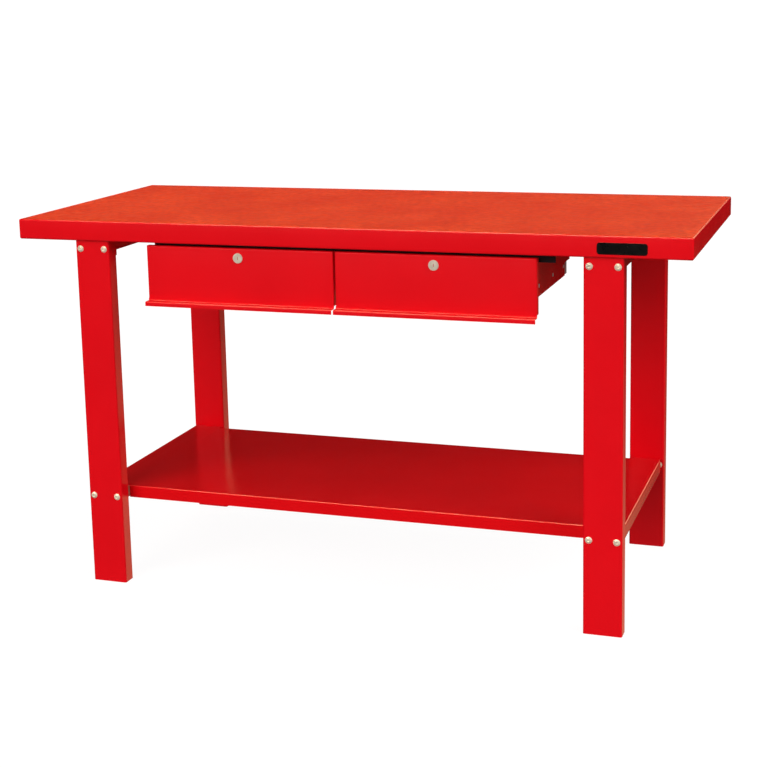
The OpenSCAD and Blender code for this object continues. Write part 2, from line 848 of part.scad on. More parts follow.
// The plug turns in the housing; its tail is square, and its key slot stands upright.
module lock_plug(side) {
    tail_end = cam_y + cam_t - face_y;
    face = -lock_head_h;
    color(nickel) at_lock(side) difference() {
        union() {
            bar_y([0, face, 0], plug_head_r, plug_head_h - 0.1);
            bar_y([0, face, 0], lock_plug_r, lock_len - face);
            block([-tail_w / 2, lock_len - 1, -tail_w / 2], [tail_w / 2, tail_end, tail_w / 2]);
        }
        block([-key_w / 2, face - 1, -key_h / 2], [key_w / 2, face + key_depth, key_h / 2]);
        bar_y([0, tail_end - 9, 0], rivet_r + thread_gap, 10);
    }
}

// At rest the cam points to the right and passes under the lock rail.
module lock_cam(side) {
    hole = tail_w / 2 + 0.1;
    color(zinc) at_lock(side) translate([0, cam_y - face_y, 0]) difference() {
        union() {
            bar_y([0, 0, 0], cam_w / 2, cam_t);
            bar_y([cam_len - cam_w / 2, 0, 0], cam_w / 2, cam_t);
            block([0, 0, -cam_w / 2], [cam_len - cam_w / 2, cam_t, cam_w / 2]);
        }
        block([-hole, -1, -hole], [hole, cam_t + 1, hole]);
    }
}

module cam_screw(side) {
    color(zinc) at_lock(side) translate([0, cam_y + cam_t - face_y, 0]) {
        bar_y([0, 0, 0], 2.4 * rivet_r, 2);
        bar_y([0, -8, 0], rivet_r, 8.5);
    }
}

// ---- the nodes ----

worktop_shell();
union() {  // worktop_stiffener_front
    worktop_stiffener(front_stiffener_d, [-leg_x, leg_x]);
}
union() {  // worktop_stiffener_middle
    worktop_stiffener(middle_stiffener_d, [-leg_x, leg_x]);
}
union() {  // worktop_stiffener_rear
    worktop_stiffener(rear_stiffener_d, [-leg_x, leg_x]);
}
leg(-leg_x, front_leg_y);  // leg_front_left
leg(leg_x, front_leg_y);  // leg_front_right
leg(-leg_x, rear_leg_y);  // leg_rear_left
leg(leg_x, rear_leg_y);  // leg_rear_right
top_rail(-1);  // top_rail_left
top_rail(1);  // top_rail_right
shelf_rail(-1);  // shelf_rail_left
shelf_rail(1);  // shelf_rail_right
shelf_tray();
shelf_stiffener();
leg_bolts();
leg_washers();
leg_nuts();
worktop_screws();
lock_rail();
lock_catch();
carrier_screws();
hanger_left();
hanger_centre();
hanger_right();
label_plate();
runner_outer(-hanger_x, 1);  // left_runner_outer_l
runner_outer(-hanger_t / 2, -1);  // left_runner_outer_r
runner_outer(hanger_t / 2, 1);  // right_runner_outer_l
runner_outer(hanger_x, -1);  // right_runner_outer_r
runner_rivets();
tub(-1);  // left_tub
drawer_front(-1);  // left_front
front_nuts(-1);  // left_front_nuts
runner_inner(-hanger_x, 1);  // left_runner_inner_l
runner_inner(-hanger_t / 2, -1);  // left_runner_inner_r
runner_screws(-1);  // left_runner_screws
lock_housing(-1);  // left_lock_housing
lock_nut(-1);  // left_lock_nut
lock_plug(-1);  // left_lock_plug
lock_cam(-1);  // left_lock_cam
cam_screw(-1);  // left_cam_screw
runner_middle(-hanger_x, 1);  // left_runner_middle_l
runner_middle(-hanger_t / 2, -1);  // left_runner_middle_r
outer_ball_cages(-1);  // left_outer_ball_cages
inner_ball_cages(-1);  // left_inner_ball_cages
tub(1);  // right_tub
drawer_front(1);  // right_front
front_nuts(1);  // right_front_nuts
runner_inner(hanger_t / 2, 1);  // right_runner_inner_l
runner_inner(hanger_x, -1);  // right_runner_inner_r
runner_screws(1);  // right_runner_screws
lock_housing(1);  // right_lock_housing
lock_nut(1);  // right_lock_nut
lock_plug(1);  // right_lock_plug
lock_cam(1);  // right_lock_cam
cam_screw(1);  // right_cam_screw
runner_middle(hanger_t / 2, 1);  // right_runner_middle_l
runner_middle(hanger_x, -1);  // right_runner_middle_r
outer_ball_cages(1);  // right_outer_ball_cages
inner_ball_cages(1);  // right_inner_ball_cages
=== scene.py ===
# %% [markdown]
# # A steel workbench with two drawers
#
# A garage workbench is folded sheet steel: a worktop pan, four channel legs, cross rails, a shelf
# tray and two drawers on telescopic runners, powder coated and bolted together. The design, the
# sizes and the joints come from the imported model, the frame. These cells only add what the eye
# needs: the rounded folds of the visible sheets, the finishes, the studio and the camera.

# %% Load the frame
import json
import math

import bmesh
import bpy
import numpy as np
from mathutils import Matrix, Vector

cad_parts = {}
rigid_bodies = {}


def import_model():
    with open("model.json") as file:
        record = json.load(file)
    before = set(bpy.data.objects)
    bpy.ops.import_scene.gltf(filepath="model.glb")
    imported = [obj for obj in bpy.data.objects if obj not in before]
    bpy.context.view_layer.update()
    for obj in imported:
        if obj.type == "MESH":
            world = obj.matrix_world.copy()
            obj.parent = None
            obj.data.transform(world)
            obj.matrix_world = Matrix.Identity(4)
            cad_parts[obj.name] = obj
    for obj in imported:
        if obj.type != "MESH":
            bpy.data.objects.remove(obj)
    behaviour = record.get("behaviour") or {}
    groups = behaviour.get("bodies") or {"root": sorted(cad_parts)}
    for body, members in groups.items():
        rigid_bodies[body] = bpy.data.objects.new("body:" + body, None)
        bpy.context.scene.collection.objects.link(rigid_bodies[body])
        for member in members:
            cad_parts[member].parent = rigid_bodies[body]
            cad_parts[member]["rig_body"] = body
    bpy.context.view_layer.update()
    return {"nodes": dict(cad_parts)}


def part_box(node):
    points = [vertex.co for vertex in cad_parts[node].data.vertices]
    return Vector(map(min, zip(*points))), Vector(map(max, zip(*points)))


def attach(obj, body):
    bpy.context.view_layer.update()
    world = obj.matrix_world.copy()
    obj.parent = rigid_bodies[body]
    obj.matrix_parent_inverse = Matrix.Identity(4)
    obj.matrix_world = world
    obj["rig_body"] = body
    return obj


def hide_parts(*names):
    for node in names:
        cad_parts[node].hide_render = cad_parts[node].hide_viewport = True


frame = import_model()
nodes = frame["nodes"]
MM = 0.001

# %% Which slot of the record each node takes its finish from
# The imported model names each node's material after its slot.
slot_of = {name: node.data.materials[0].name.split(".")[0] for name, node in nodes.items()}
print("slots:", sorted(set(slot_of.values())))

# %% [markdown]
# ## The camera
#
# A catalogue view of a long object is taken from a few metres away with a long lens, so that
# upright legs stay nearly upright. The camera here stands in front of the bench's right end and
# looks down a little. A small vertical shift does what a view camera's rising front does: it
# moves the bench in the picture without tilting the camera any further.

# %% Place the camera
CAMERA_AT = (1.1386, -3.3200, 1.3072)
CAMERA_YAW = math.radians(18.857)
CAMERA_PITCH = math.radians(10.126)
CAMERA_ROLL = math.radians(-1.227)
CAMERA_LENS = 72.653
CAMERA_SHIFT = -0.14
SENSOR_WIDTH = 36


def camera_axes(yaw, pitch, roll):
    """Right, up and forward: forward is +Y turned left by yaw and down by pitch, then rolled."""
    forward = np.array([
        -math.sin(yaw) * math.cos(pitch), math.cos(yaw) * math.cos(pitch), -math.sin(pitch)
    ])
    level = np.array([math.cos(yaw), math.sin(yaw), 0.0])
    rise = np.cross(level, forward)
    right = math.cos(roll) * level + math.sin(roll) * rise
    up = math.cos(roll) * rise - math.sin(roll) * level
    return right, up, forward


right, up, forward = camera_axes(CAMERA_YAW, CAMERA_PITCH, CAMERA_ROLL)
camera_data = bpy.data.cameras.new("view_camera")
camera_data.lens = CAMERA_LENS
camera_data.sensor_width = SENSOR_WIDTH
camera_data.shift_y = CAMERA_SHIFT
camera = bpy.data.objects.new("view_camera", camera_data)
bpy.context.scene.collection.objects.link(camera)
turn = np.eye(4)
turn[:3, :3] = np.column_stack([right, up, -forward])
turn[:3, 3] = CAMERA_AT
camera.matrix_world = Matrix(turn.tolist())
bpy.context.scene.camera = camera
print("camera looks along", [round(float(v), 3) for v in forward])

# %% [markdown]
# ## Surfaces from grids of points
#
# Every new piece below is a surface: a grid of points worked out at once with numpy, then handed
# to the mesh. Blender's own primitives could be bevelled and cut into shape instead, but then each
# fold's radius depends on the order of the modifiers. A grid says exactly where the metal is, and
# the same few lines make a worktop, a drawer or a bolt.


# %% Faces between the points of a grid
# Points nearer than MERGE_WITHIN metres are one, and edges shorter than SLIVER go. Edges sharper
# than SHARP_ANGLE degrees stay crisp under smooth shading.
MERGE_WITHIN = 1e-6
SLIVER = 1e-7
SHARP_ANGLE = 35


def grid_quads(nu, nv, close_u=False, close_v=False):
    """One quad between each four neighbours; a closed way joins its last points to its first."""
    index = np.arange(nu * nv).reshape(nu, nv)
    if close_u:
        index = np.vstack([index, index[:1]])
    if close_v:
        index = np.hstack([index, index[:, :1]])
    quads = np.stack([index[:-1, :-1], index[1:, :-1], index[1:, 1:], index[:-1, 1:]], axis=-1)
    return quads.reshape(-1, 4)


def piece_from(name, shells):
    """One object from shells of points and quads. Doubles are merged, every face is turned
    outwards, and the shading is smooth but for sharp edges."""
    base = np.cumsum([0] + [len(points) for points, faces in shells])
    mesh = bpy.data.meshes.new(name)
    mesh.from_pydata(
        np.vstack([points for points, faces in shells]).tolist(), [],
        np.vstack([faces + b for (points, faces), b in zip(shells, base)]).tolist(),
    )
    work = bmesh.new()
    work.from_mesh(mesh)
    bmesh.ops.remove_doubles(work, verts=work.verts, dist=MERGE_WITHIN)
    bmesh.ops.dissolve_degenerate(work, edges=work.edges, dist=SLIVER)
    bmesh.ops.recalc_face_normals(work, faces=work.faces)
    work.to_mesh(mesh)
    work.free()
    mesh.polygons.foreach_set("use_smooth", np.ones(len(mesh.polygons), bool))
    mesh.set_sharp_from_angle(angle=math.radians(SHARP_ANGLE))
    piece = bpy.data.objects.new(name, mesh)
    bpy.context.scene.collection.objects.link(piece)
    return piece


print("3 by 3 points make", len(grid_quads(3, 3)), "faces, or closed", len(grid_quads(3, 3, True)))

# %% [markdown]
# ## The studio
#
# The floor and the wall are one white sheet, turned about the vertical so that it looks the same
# from every side: flat, then a wide cove, then a wall. Only the camera sees it, so it neither
# tints the steel nor fills the gloss with white.

# %% Floor, cove and wall
FLOOR_R = 9.0
COVE_R = 3.0
WALL_TOP = 9.0


def cove_profile(floor_count=12, cove_count=24):
    """Radius and height: a flat floor, a quarter turn of the cove's radius, then a wall."""
    flat = np.column_stack([np.linspace(0, FLOOR_R, floor_count), np.zeros(floor_count)])
    turn_by = np.linspace(0, math.pi / 2, cove_count)
    cove = np.column_stack([
        FLOOR_R + COVE_R * np.sin(turn_by), COVE_R * (1 - np.cos(turn_by))
    ])
    wall = np.array([[FLOOR_R + COVE_R, WALL_TOP]])
    return np.vstack([flat, cove[1:], wall])


def turned(profile, count=96):
    """A profile of (radius, height) points turned about the vertical, as points and quads."""
    angle = np.linspace(0, 2 * math.pi, count, endpoint=False)
    radius, height = profile[:, 0], profile[:, 1]
    points = np.stack([
        np.outer(np.cos(angle), radius),
        np.outer(np.sin(angle), radius),
        np.tile(height, (count, 1)),
    ], axis=-1)
    return points.reshape(-1, 3), grid_quads(count, len(profile), close_u=True)


studio = piece_from("studio_sheet", [turned(cove_profile())])
studio.visible_glossy = False
studio.visible_diffuse = False
studio.visible_shadow = False
print("studio sheet:", len(studio.data.polygons), "faces")


# %% The paper on the floor
def bare_material(name):
    """A new node material with nothing in it but its tree."""
    made = bpy.data.materials.new(name)
    made.use_nodes = True
    made.node_tree.nodes.clear()
    return made, made.node_tree


# Most of the paper's light is its own glow, so that it stays white far from the lamps. The rest
# is lit, and takes a faint shadow.
GLOW_SHARE = 0.86
GLOW_LEVEL = 1.08
PAPER_TONE = (0.95, 0.95, 0.95, 1)
paper, tree = bare_material("studio_paper")
lit = tree.nodes.new("ShaderNodeBsdfDiffuse")
lit.inputs["Color"].default_value = PAPER_TONE
glow = tree.nodes.new("ShaderNodeEmission")
glow.inputs["Color"].default_value = (1, 1, 1, 1)
glow.inputs["Strength"].default_value = GLOW_LEVEL
blend = tree.nodes.new("ShaderNodeMixShader")
blend.inputs["Fac"].default_value = GLOW_SHARE
result = tree.nodes.new("ShaderNodeOutputMaterial")
tree.links.new(lit.outputs[0], blend.inputs[1])
tree.links.new(glow.outputs[0], blend.inputs[2])
tree.links.new(blend.outputs[0], result.inputs["Surface"])
studio.data.materials.append(paper)
print("paper:", GLOW_SHARE, "glow and", round(1 - GLOW_SHARE, 2), "lit")

# %% [markdown]
# ## What the gloss mirrors
#
# Paint shows its folds only by what it mirrors. A studio hangs a bright card overhead, which draws
# a thin line along every top edge. A second stands behind the object and glances off its end
# faces, and a weak third lies low behind, for folds that turn down. The rest of the room stays
# dark, so that the colour of the flat faces is deep. Real card lamps would light the paint as
# well. The sky can tell glossy rays from the others, so the cards live in the sky and only the
# reflections see them.

# %% Sky: a soft fill for the paint, and cards for the gloss
world = bpy.data.worlds.new("studio_world")
bpy.context.scene.world = world
world.use_nodes = True
sky = world.node_tree
sky.nodes.clear()
ROOM_LEVEL = 0.006
FILL_LEVEL = 0.26
CARD_TINT = (1.0, 0.72, 0.42, 1)
FILL_TINT = (1.0, 0.97, 0.94, 1)
# A card: the way to it, the angles in degrees where it starts to fade and is gone, its brightness.
CARDS = {
    "overhead": ((-0.25, -0.25, 0.93), 9, 22, 21.0),
    "behind": ((0.25, 0.93, 0.42), 7, 18, 4.0),
    "floor": ((0.42, 0.72, -0.54), 12, 26, 1.2),
}
where = sky.nodes.new("ShaderNodeTexCoord")


def card_level(way, inner, outer, level):
    """Brightness of one card: full within the inner angle of its way, none beyond the outer."""
    unit = Vector(way).normalized()
    along = sky.nodes.new("ShaderNodeVectorMath")
    along.operation = "DOT_PRODUCT"
    along.inputs[1].default_value = unit
    sky.links.new(where.outputs["Generated"], along.inputs[0])
    fade = sky.nodes.new("ShaderNodeMapRange")
    fade.interpolation_type = "SMOOTHSTEP"
    fade.inputs["From Min"].default_value = math.cos(math.radians(outer))
    fade.inputs["From Max"].default_value = math.cos(math.radians(inner))
    fade.inputs["To Min"].default_value = 0
    fade.inputs["To Max"].default_value = level
    sky.links.new(along.outputs["Value"], fade.inputs["Value"])
    return fade.outputs["Result"]


total = None
for way, inner, outer, level in CARDS.values():
    add = sky.nodes.new("ShaderNodeMath")
    add.operation = "ADD"
    add.inputs[0].default_value = ROOM_LEVEL
    if total is not None:
        sky.links.new(total, add.inputs[0])
    sky.links.new(card_level(way, inner, outer, level), add.inputs[1])
    total = add.outputs[0]
mirrored = sky.nodes.new("ShaderNodeBackground")
mirrored.inputs["Color"].default_value = CARD_TINT
fill = sky.nodes.new("ShaderNodeBackground")
fill.inputs["Color"].default_value = FILL_TINT
fill.inputs["Strength"].default_value = FILL_LEVEL
rays = sky.nodes.new("ShaderNodeLightPath")
choice = sky.nodes.new("ShaderNodeMixShader")
result = sky.nodes.new("ShaderNodeOutputWorld")
sky.links.new(total, mirrored.inputs["Strength"])
sky.links.new(rays.outputs["Is Glossy Ray"], choice.inputs["Fac"])
sky.links.new(fill.outputs[0], choice.inputs[1])
sky.links.new(mirrored.outputs[0], choice.inputs[2])
sky.links.new(choice.outputs[0], result.inputs["Surface"])
print("cards in the sky:", sorted(CARDS))

# %% [markdown]
# ## Lamps
#
# Light that comes in low and from the front reaches under the worktop, on to the shelf and the
# rear legs. A second light, high on the right, is for the end face and the top, and a weak one
# behind keeps the back readable. They are suns, because a sun keeps the same angle along an object
# that is a metre and a half long, and they are wide, so that shadows have soft edges. The gloss
# doesn't see them: it has its cards.


# %% Three wide suns
# A sun: its power, the way to it, its apparent width in degrees and its colour.
SUNS = {
    "front_sun": (2.45, (-1.1, -3.4, 1.45), 44, (1.0, 0.985, 0.96)),
    "right_sun": (2.2, (2.5, -0.6, 1.5), 50, (1.0, 0.98, 0.95)),
    "back_sun": (0.9, (-1.0, 3.0, 0.7), 50, (1, 1, 1)),
}


def add_sun(name, power, way, wide, colour):
    """A sun, turned so that its Z axis points the way to it. Its light comes down that axis."""
    data = bpy.data.lights.new(name, "SUN")
    data.energy = power
    data.color = colour
    data.angle = math.radians(wide)
    lamp = bpy.data.objects.new(name, data)
    lamp.visible_glossy = False
    lamp.rotation_mode = "QUATERNION"
    lamp.rotation_quaternion = Vector(way).to_track_quat("Z", "Y")
    bpy.context.scene.collection.objects.link(lamp)


for name, values in SUNS.items():
    add_sun(name, *values)
print("suns:", sorted(SUNS))

# %% Plain colour handling: paints keep their own hue
bpy.context.scene.view_settings.view_transform = "Standard"
print("view transform:", bpy.context.scene.view_settings.view_transform)

# %% [markdown]
# ## Finishes
#
# Powder coat is a plastic skin baked on to the steel. It is one colour, but never perfectly
# even: the film is thicker in places, and it dries with a fine ripple called orange peel, which
# breaks up what it mirrors. So each coat gets a slow drift of colour, a fast fleck, a drift of
# roughness and a bump at the ripple's real size. Everything reads Object coordinates, in metres.


# %% Helpers for node materials
class Paint:
    """A Principled material, with short calls that add the nodes feeding it."""

    def __init__(self, name, **sockets):
        self.material, self.tree = bare_material(name)
        self.shader = self.tree.nodes.new("ShaderNodeBsdfPrincipled")
        output = self.tree.nodes.new("ShaderNodeOutputMaterial")
        self.link(self.shader.outputs[0], output.inputs["Surface"])
        self.where = self.tree.nodes.new("ShaderNodeTexCoord").outputs["Object"]
        for socket, value in sockets.items():
            self.shader.inputs[socket.replace("_", " ")].default_value = value

    def link(self, out, into):
        """Joins an output to an input."""
        self.tree.links.new(out, into)

    def noise(self, scale, detail=3.0, stretch=(1, 1, 1)):
        """Noise whose cells are about 1/scale metres, drawn out along the axes by stretch."""
        place = self.tree.nodes.new("ShaderNodeMapping")
        place.inputs["Scale"].default_value = [1 / s for s in stretch]
        self.link(self.where, place.inputs["Vector"])
        made = self.tree.nodes.new("ShaderNodeTexNoise")
        made.inputs["Scale"].default_value = scale
        made.inputs["Detail"].default_value = detail
        self.link(place.outputs[0], made.inputs["Vector"])
        return made.outputs["Fac"]

    def ramp(self, value, low, high, from_low=0.35, from_high=0.65):
        """Maps a value straight to a range. Noise mostly lies between 0.35 and 0.65."""
        made = self.tree.nodes.new("ShaderNodeMapRange")
        made.inputs["From Min"].default_value = from_low
        made.inputs["From Max"].default_value = from_high
        made.inputs["To Min"].default_value = low
        made.inputs["To Max"].default_value = high
        self.link(value, made.inputs["Value"])
        return made.outputs["Result"]

    def mix(self, amount, first, second):
        """One colour or another, by an amount from 0 to 1."""
        made = self.tree.nodes.new("ShaderNodeMix")
        made.data_type = "RGBA"
        self.link(amount, made.inputs["Factor"])
        for socket, colour in (("A", first), ("B", second)):
            slot = [i for i in made.inputs if i.name == socket and i.type == "RGBA"][0]
            if hasattr(colour, "links"):
                self.link(colour, slot)
            else:
                slot.default_value = (*colour, 1)
        return [o for o in made.outputs if o.type == "RGBA"][0]

    def colour(self, out):
        """Feeds the base colour."""
        self.link(out, self.shader.inputs["Base Color"])

    def roughness(self, out):
        """Feeds the roughness."""
        self.link(out, self.shader.inputs["Roughness"])

    def bump(self, *layers):
        """Bumps one on another: each layer is a height and its depth in metres."""
        below = None
        for height, depth in layers:
            made = self.tree.nodes.new("ShaderNodeBump")
            made.inputs["Strength"].default_value = 1.0
            made.inputs["Distance"].default_value = depth
            self.link(height, made.inputs["Height"])
            if below is not None:
                self.link(below, made.inputs["Normal"])
            below = made.outputs["Normal"]
        self.link(below, self.shader.inputs["Normal"])


# %% Red powder coat
def red_coat(name, deep, bright, rough, peel_depth, gloss):
    """Smooth powder coat: a slow drift between two reds, a fine darker fleck and orange peel,
    whose depth is in metres. Gloss is the specular level."""
    paint = Paint(name, Specular_IOR_Level=gloss, IOR=1.5)
    drift = paint.ramp(paint.noise(5, 4), 0, 1, 0.3, 0.7)
    fleck = paint.ramp(paint.noise(900, 2), 0, 0.10)
    base = paint.mix(drift, deep, bright)
    paint.colour(paint.mix(fleck, base, tuple(0.72 * c for c in deep)))
    paint.roughness(paint.ramp(paint.noise(14, 2), rough - 0.01, rough + 0.02, 0.3, 0.7))
    paint.bump((paint.noise(420, 2), peel_depth))
    return paint.material


red_paint = red_coat(
    "red_powder_coat", deep=(0.66, 0.0015, 0.006), bright=(0.72, 0.002, 0.007),
    rough=0.25, peel_depth=0.00002, gloss=0.38,
)
# The shelf's coat is the red made glossier and a little darker; the darker red is painted shade, the
# worktop's shadow on the shelf laid into its colour.
shelf_shaded_coat = red_coat(
    "shelf_gloss_shaded_coat", deep=(0.62, 0.0025, 0.005), bright=(0.68, 0.003, 0.006),
    rough=0.15, peel_depth=0.00003, gloss=0.42,
)
print("red coats:", red_paint.name, "and", shelf_shaded_coat.name)


# %% Textured coat of the worktop
# The grained top's orange reds: its own coat's tones, with a painted sheen of warm light laid in.
GRAIN_SHEEN_DEEP = (0.70, 0.038, 0.004)
GRAIN_SHEEN_BRIGHT = (0.84, 0.070, 0.009)
GRAIN_SHEEN_PIT = (0.58, 0.024, 0.003)
PIT_SHARE = 0.65


def grained_coat_with_sheen():
    """Grained powder coat: raised pimples a few millimetres apart over a cloudy orange red, with
    a finer and darker mottle in it. The orange is partly painted sheen: the warm light that
    glances off the top is laid into the colour."""
    paint = Paint("worktop_grained_coat", Specular_IOR_Level=0.2, IOR=1.5)
    cloud = paint.ramp(paint.noise(9, 5), 0, 1, 0.3, 0.7)
    mottle = paint.ramp(paint.noise(75, 5), 0, 1, 0.40, 0.60)
    base = paint.mix(cloud, GRAIN_SHEEN_DEEP, GRAIN_SHEEN_BRIGHT)
    paint.colour(paint.mix(paint.ramp(mottle, 0, PIT_SHARE, 0, 1), base, GRAIN_SHEEN_PIT))
    paint.roughness(paint.ramp(paint.noise(40, 3), 0.46, 0.60))
    paint.bump((paint.noise(300, 3), 0.00022), (paint.noise(90, 2), 0.0002))
    return paint.material


worktop_paint = grained_coat_with_sheen()
print("worktop coat:", worktop_paint.name)


# %% Black, zinc, steel and nickel
def plated(name, light, dark, rough, grain, shine, stretch=(1, 1, 1), depth=0.00002):
    """Plated metal: two near tones, a grain that can run one way, and its own roughness. Dull
    passivated plate scatters part of its light, which is what a shine below 1 gives."""
    metal = Paint(name, Metallic=shine)
    metal.colour(metal.mix(metal.ramp(metal.noise(grain * 0.2, 4), 0, 1), dark, light))
    metal.roughness(metal.ramp(metal.noise(grain, 3, stretch), rough - 0.06, rough + 0.08))
    metal.bump((metal.noise(grain * 2, 2, stretch), depth))
    return metal.material


def black_coat(name, tone, rough):
    """Black satin coat with a fine grain."""
    paint = Paint(name, Specular_IOR_Level=0.4)
    pale = tuple(1.6 * t for t in tone)
    paint.colour(paint.mix(paint.ramp(paint.noise(30, 4), 0, 1), tone, pale))
    paint.roughness(paint.ramp(paint.noise(60, 3), rough - 0.05, rough + 0.08))
    paint.bump((paint.noise(700, 2), 0.00004))
    return paint.material


finishes = {
    "red_paint": red_paint,
    "worktop_paint": worktop_paint,
    "black_paint": black_coat("black_satin_coat", tone=(0.012, 0.008, 0.009), rough=0.38),
    "label": black_coat("blank_plate_film", tone=(0.004, 0.004, 0.004), rough=0.3),
    "zinc_fasteners": plated(
        "zinc_plate", light=(0.95, 0.84, 0.66), dark=(0.80, 0.70, 0.54),
        rough=0.42, grain=300, shine=0.35,
    ),
    "runner_steel": plated(
        "runner_zinc", light=(0.66, 0.67, 0.68), dark=(0.50, 0.51, 0.53),
        rough=0.34, grain=160, shine=0.45, stretch=(1, 20, 1),
    ),
    "lock_nickel": plated(
        "lock_nickel", light=(0.92, 0.84, 0.70), dark=(0.74, 0.67, 0.54),
        rough=0.36, grain=400, shine=0.45,
    ),
}
print("finishes:", sorted(finishes))

# %% Give each CAD node the finish of its slot
for name, node in nodes.items():
    node.data.materials[0] = finishes[slot_of[name]]
print("slots:", {slot: list(slot_of.values()).count(slot) for slot in sorted(finishes)})


# %% A piece that stands for a node
def stands_for(piece, node, *coats):
    """The piece rides on its node's body, hides that node, and wears the coats given or else the
    finish of its node's slot."""
    for coat in coats or (finishes[slot_of[node]],):
        piece.data.materials.append(coat)
    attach(piece, nodes[node]["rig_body"])
    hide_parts(node)


# %% [markdown]
# ## Folding sheet metal
#
# Nearly every part of a workbench is one flat sheet with bends in it. A press brake never makes a
# sharp edge: the sheet turns through an arc a little wider than its own thickness, and that arc
# is what catches the light as a thin bright line. Two helpers cover all of it. One walks along
# a few corner points and rounds each bend, the other carries the resulting section along an axis.


# %% A bent section
def bent_section(corners, thickness, radius, steps=8):
    """Outline of a sheet seen edge on. The middle line runs straight from corner to corner and
    turns through an arc of the given radius at each one; the outline is that line moved half
    the thickness to its left, then back along it half the thickness to its right."""
    corners = np.asarray(corners, float)
    ways = np.diff(corners, axis=0)
    ways /= np.linalg.norm(ways, axis=1, keepdims=True)
    line, across = [corners[0]], [(-ways[0, 1], ways[0, 0])]
    for corner, come, go in zip(corners[1:-1], ways[:-1], ways[1:]):
        turn_by = math.atan2(come[0] * go[1] - come[1] * go[0], come @ go)
        side = math.copysign(1.0, turn_by)
        left = np.array([-come[1], come[0]])
        start = corner - come * radius * math.tan(abs(turn_by) / 2)
        centre = start + left * side * radius
        swing = np.linspace(0, turn_by, steps + 1)
        spun = np.column_stack([
            left[0] * np.cos(swing) - left[1] * np.sin(swing),
            left[0] * np.sin(swing) + left[1] * np.cos(swing),
        ])
        line.extend(centre - spun * side * radius)
        across.extend(spun)
    line.append(corners[-1])
    across.append((-ways[-1, 1], ways[-1, 0]))
    line, across = np.array(line), np.array(across)
    half = thickness / 2
    return np.vstack([line + across * half, (line - across * half)[::-1]])


def carried(section, axis, start, end):
    """A closed section carried straight along one axis, as arrays of points and faces. The
    section's two columns are the other two axes in the order x, y, z, and both ends are capped."""
    count = len(section)
    points = np.empty((2, count, 3))
    points[..., [a for a in range(3) if a != axis]] = section
    points[0, :, axis], points[1, :, axis] = start, end
    here = np.arange(count)
    following = np.roll(here, -1)
    sides = np.column_stack([here, following, following + count, here + count])
    half = count // 2
    near = np.column_stack([
        here[:half - 1], here[1:half], here[::-1][1:half], here[::-1][:half - 1]
    ])
    return points.reshape(-1, 3), np.vstack([sides, near, near + count])


print("a right angle takes", len(bent_section([(0, 0), (9, 0), (9, 9)], 1.5, 2)), "points")

# %% [markdown]
# ## Pans: the worktop and the drawer tubs
#
# A pan is a sheet with all four sides folded one way and its rim folded in again. The worktop is
# one, upside down, and each drawer tub is another. A cube with its inside cut out would have
# knife edges, and bevelling it afterwards would not give the rim its second fold. So the pan is a
# profile, from the middle of the sheet over the fold and down to the rim and back inside, carried
# round a rectangle with rounded corners. Rings that lie far in have square corners, and the
# innermost ring closes on itself as a line.


# %% A ring round a rectangle, at any inset
def rectangle_rings(half, corner_r, inset, arc=6, along=(14, 6)):
    """Rings of shape (inset, point, 2). A ring at inset s is a rectangle s inside the first, whose
    corners have the radius corner_r - s while that is positive, and are square further in."""
    inset = np.asarray(inset, float)[:, None]
    radius = np.maximum(corner_r - inset, 0)
    centre = [h - np.maximum(inset, corner_r) for h in half]
    parts = []
    signs = ((1, 1), (-1, 1), (-1, -1), (1, -1))
    for k, (sx, sy) in enumerate(signs):
        swing = (k + np.linspace(0, 1, arc + 1))[None, :] * math.pi / 2
        corner = np.stack([
            sx * centre[0] + radius * np.cos(swing), sy * centre[1] + radius * np.sin(swing)
        ], axis=-1)
        nx, ny = signs[(k + 1) % 4]
        turned_by = (k + 1) * math.pi / 2
        last = corner[:, -1]
        following = np.stack([
            nx * centre[0][:, 0] + radius[:, 0] * math.cos(turned_by),
            ny * centre[1][:, 0] + radius[:, 0] * math.sin(turned_by),
        ], axis=-1)
        share = np.linspace(0, 1, along[k % 2] + 1)[1:-1]
        side = last[:, None] + (following - last)[:, None] * share[None, :, None]
        parts += [corner, side]
    return np.concatenate(parts, axis=1)


# Where the flat face has its rings, as shares of the inset of its middle.
FLAT_SHARES = (1.0, 0.7, 0.4, 0.15)


def pan_profile(middle, wall, sheet, fold_r, rim, rim_r, steps=8):
    """Inset and drop below the face, from the pan's middle over the fold, down the wall, in along
    the rim and back inside. Each fold is two quarter circles about one centre, a sheet apart."""
    swing = np.linspace(0, math.pi / 2, steps + 1)
    flat = middle * np.array(FLAT_SHARES)
    zero = np.zeros_like(flat)

    def fold(r):
        return fold_r - r * np.sin(swing), fold_r - r * np.cos(swing)

    def rim_fold(r):
        return rim_r - r * np.cos(swing), wall - rim_r + r * np.sin(swing)

    outer, inner = fold(fold_r), fold(fold_r - sheet)
    low, low_in = rim_fold(rim_r), rim_fold(rim_r - sheet)
    inset = np.concatenate([flat, outer[0], low[0], [rim, rim], low_in[0][::-1], inner[0][::-1],
                            flat[::-1]])
    drop = np.concatenate([zero, outer[1], low[1], [wall, wall - sheet], low_in[1][::-1],
                           inner[1][::-1], zero + sheet])
    return inset, drop


def pan(lo, hi, face_up, sheet, fold_r, rim, rim_r, corner_r):
    """A pan that fills the box from lo to hi, with its face at the top or at the bottom."""
    lo, hi = np.array(lo), np.array(hi)
    half = (hi - lo)[:2] / 2
    middle = (hi + lo)[:2] / 2
    inset, drop = pan_profile(half.min(), (hi - lo)[2], sheet, fold_r, rim, rim_r)
    rings = rectangle_rings(half, corner_r, inset)
    height = hi[2] - drop if face_up else lo[2] + drop
    points = np.empty(rings.shape[:2] + (3,))
    points[..., :2] = rings + middle
    points[..., 2] = height[:, None]
    nu, nv = points.shape[:2]
    return points.reshape(-1, 3), grid_quads(nu, nv, close_v=True)
